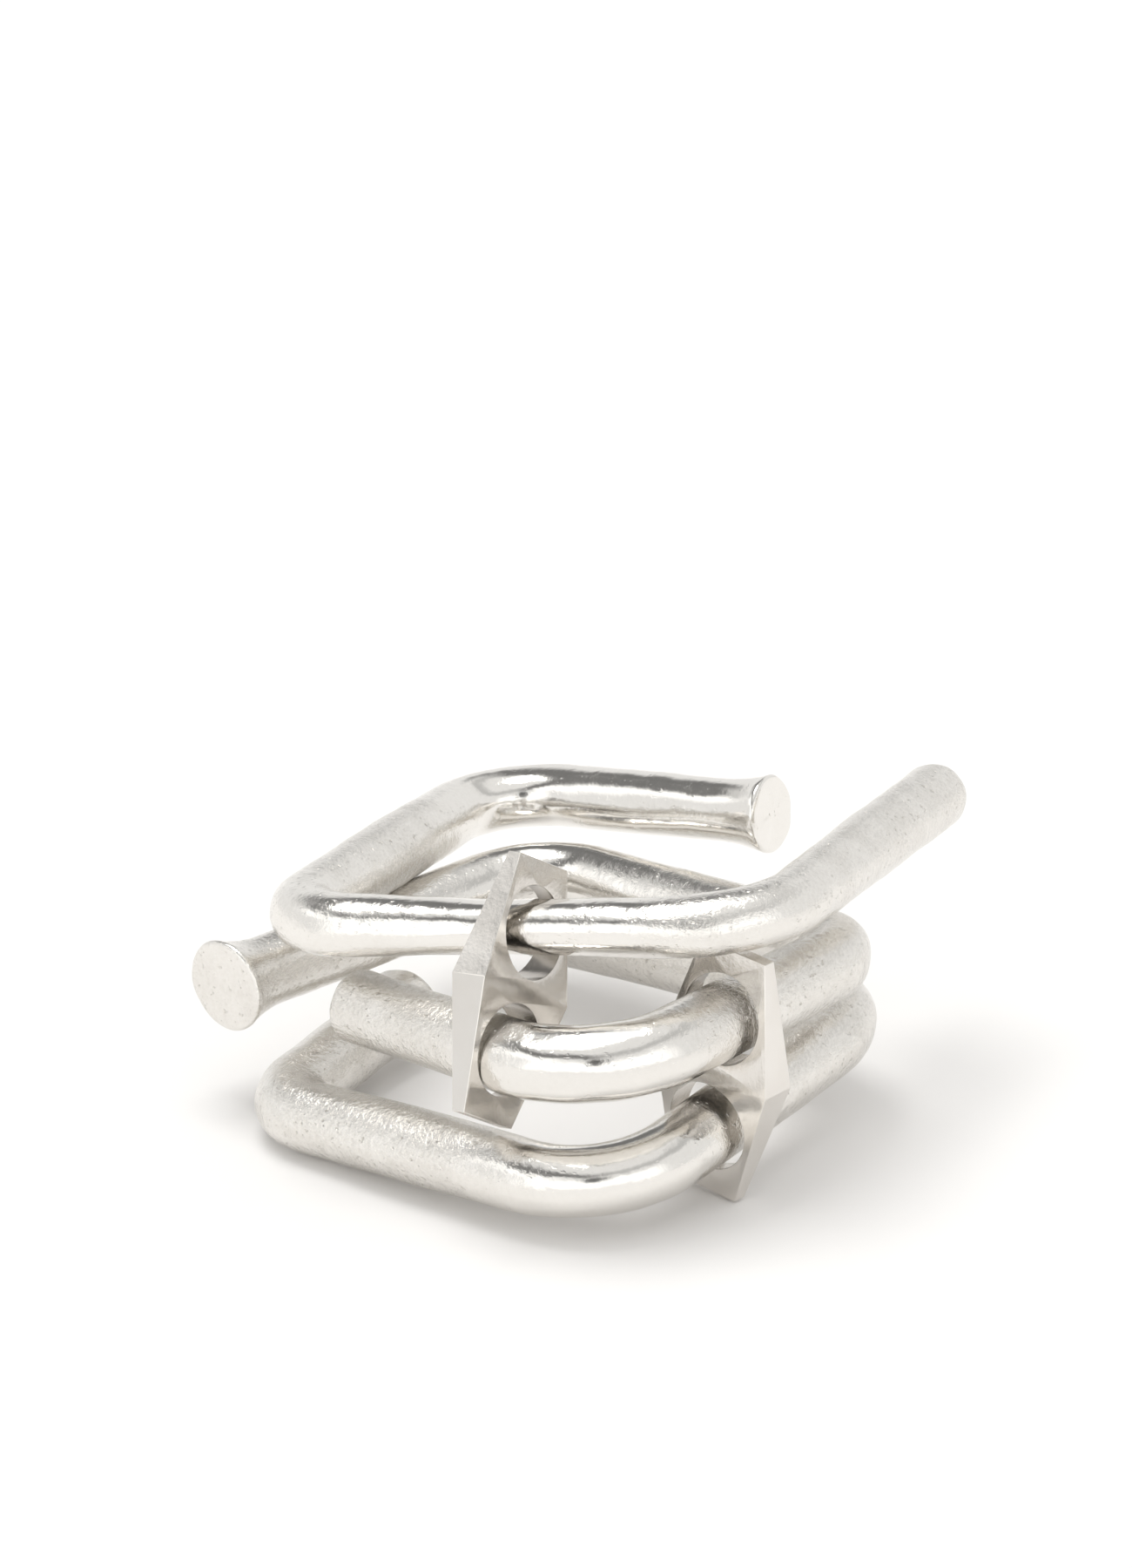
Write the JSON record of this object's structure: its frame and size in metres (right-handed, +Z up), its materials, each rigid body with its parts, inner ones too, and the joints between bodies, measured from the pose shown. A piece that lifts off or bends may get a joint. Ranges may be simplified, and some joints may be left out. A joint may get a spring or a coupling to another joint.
{
  "type": "disentanglement puzzle",
  "caption": "Bent-rod disentanglement puzzle at finger-ring size: open square loops of round silver rod with flared heads, stacked and chained by lozenge link plates.",
  "frame": {"origin": "on the surface the puzzle stands on, under the middle of its bounding box", "axes": "+Z up, +X to the right of someone facing the joined front corners, +Y away from them"},
  "size_m": [0.0406, 0.0356, 0.0183],
  "materials": {
    "cast_rod": "tumble-polished cast silver-coloured metal with a fine grain",
    "polished_rod": "brighter polished silver-coloured metal with fine grain",
    "link_plate": "smooth polished flat facets with crisp bright edges"
  },
  "bodies": {
    "bottom_rod": {"bottom_bent_rod": "cast_rod"},
    "right_plate": {"right_link_plate": "link_plate"},
    "middle_rod": {"middle_bent_rod": "cast_rod"},
    "left_plate": {"left_link_plate": "link_plate"},
    "top_rod": {"top_bent_rod": "polished_rod"}
  },
  "joints": [
    {"name": "right_plate_slide", "type": "slide", "parent": "bottom_rod", "child": "right_plate", "axis": [0.6096, 0.7887, 0.0802], "range_m": [-0.0015, 0.004]},
    {"name": "middle_rod_swivel", "type": "hinge", "parent": "right_plate", "child": "middle_rod", "pos_m": [0.00729, -0.01104, 0.00991], "axis": [0.6677, 0.7442, 0.0192], "range_deg": [0, 60]},
    {"name": "left_plate_slide", "type": "slide", "parent": "middle_rod", "child": "left_plate", "axis": [-0.6777, 0.7279, -0.1042], "range_m": [0, 0.0045]},
    {"name": "top_rod_swivel", "type": "hinge", "parent": "left_plate", "child": "top_rod", "pos_m": [-0.00309, -0.00958, 0.0144], "axis": [0.9377, -0.3192, 0.1374], "range_deg": [0, 75]}
  ]
}
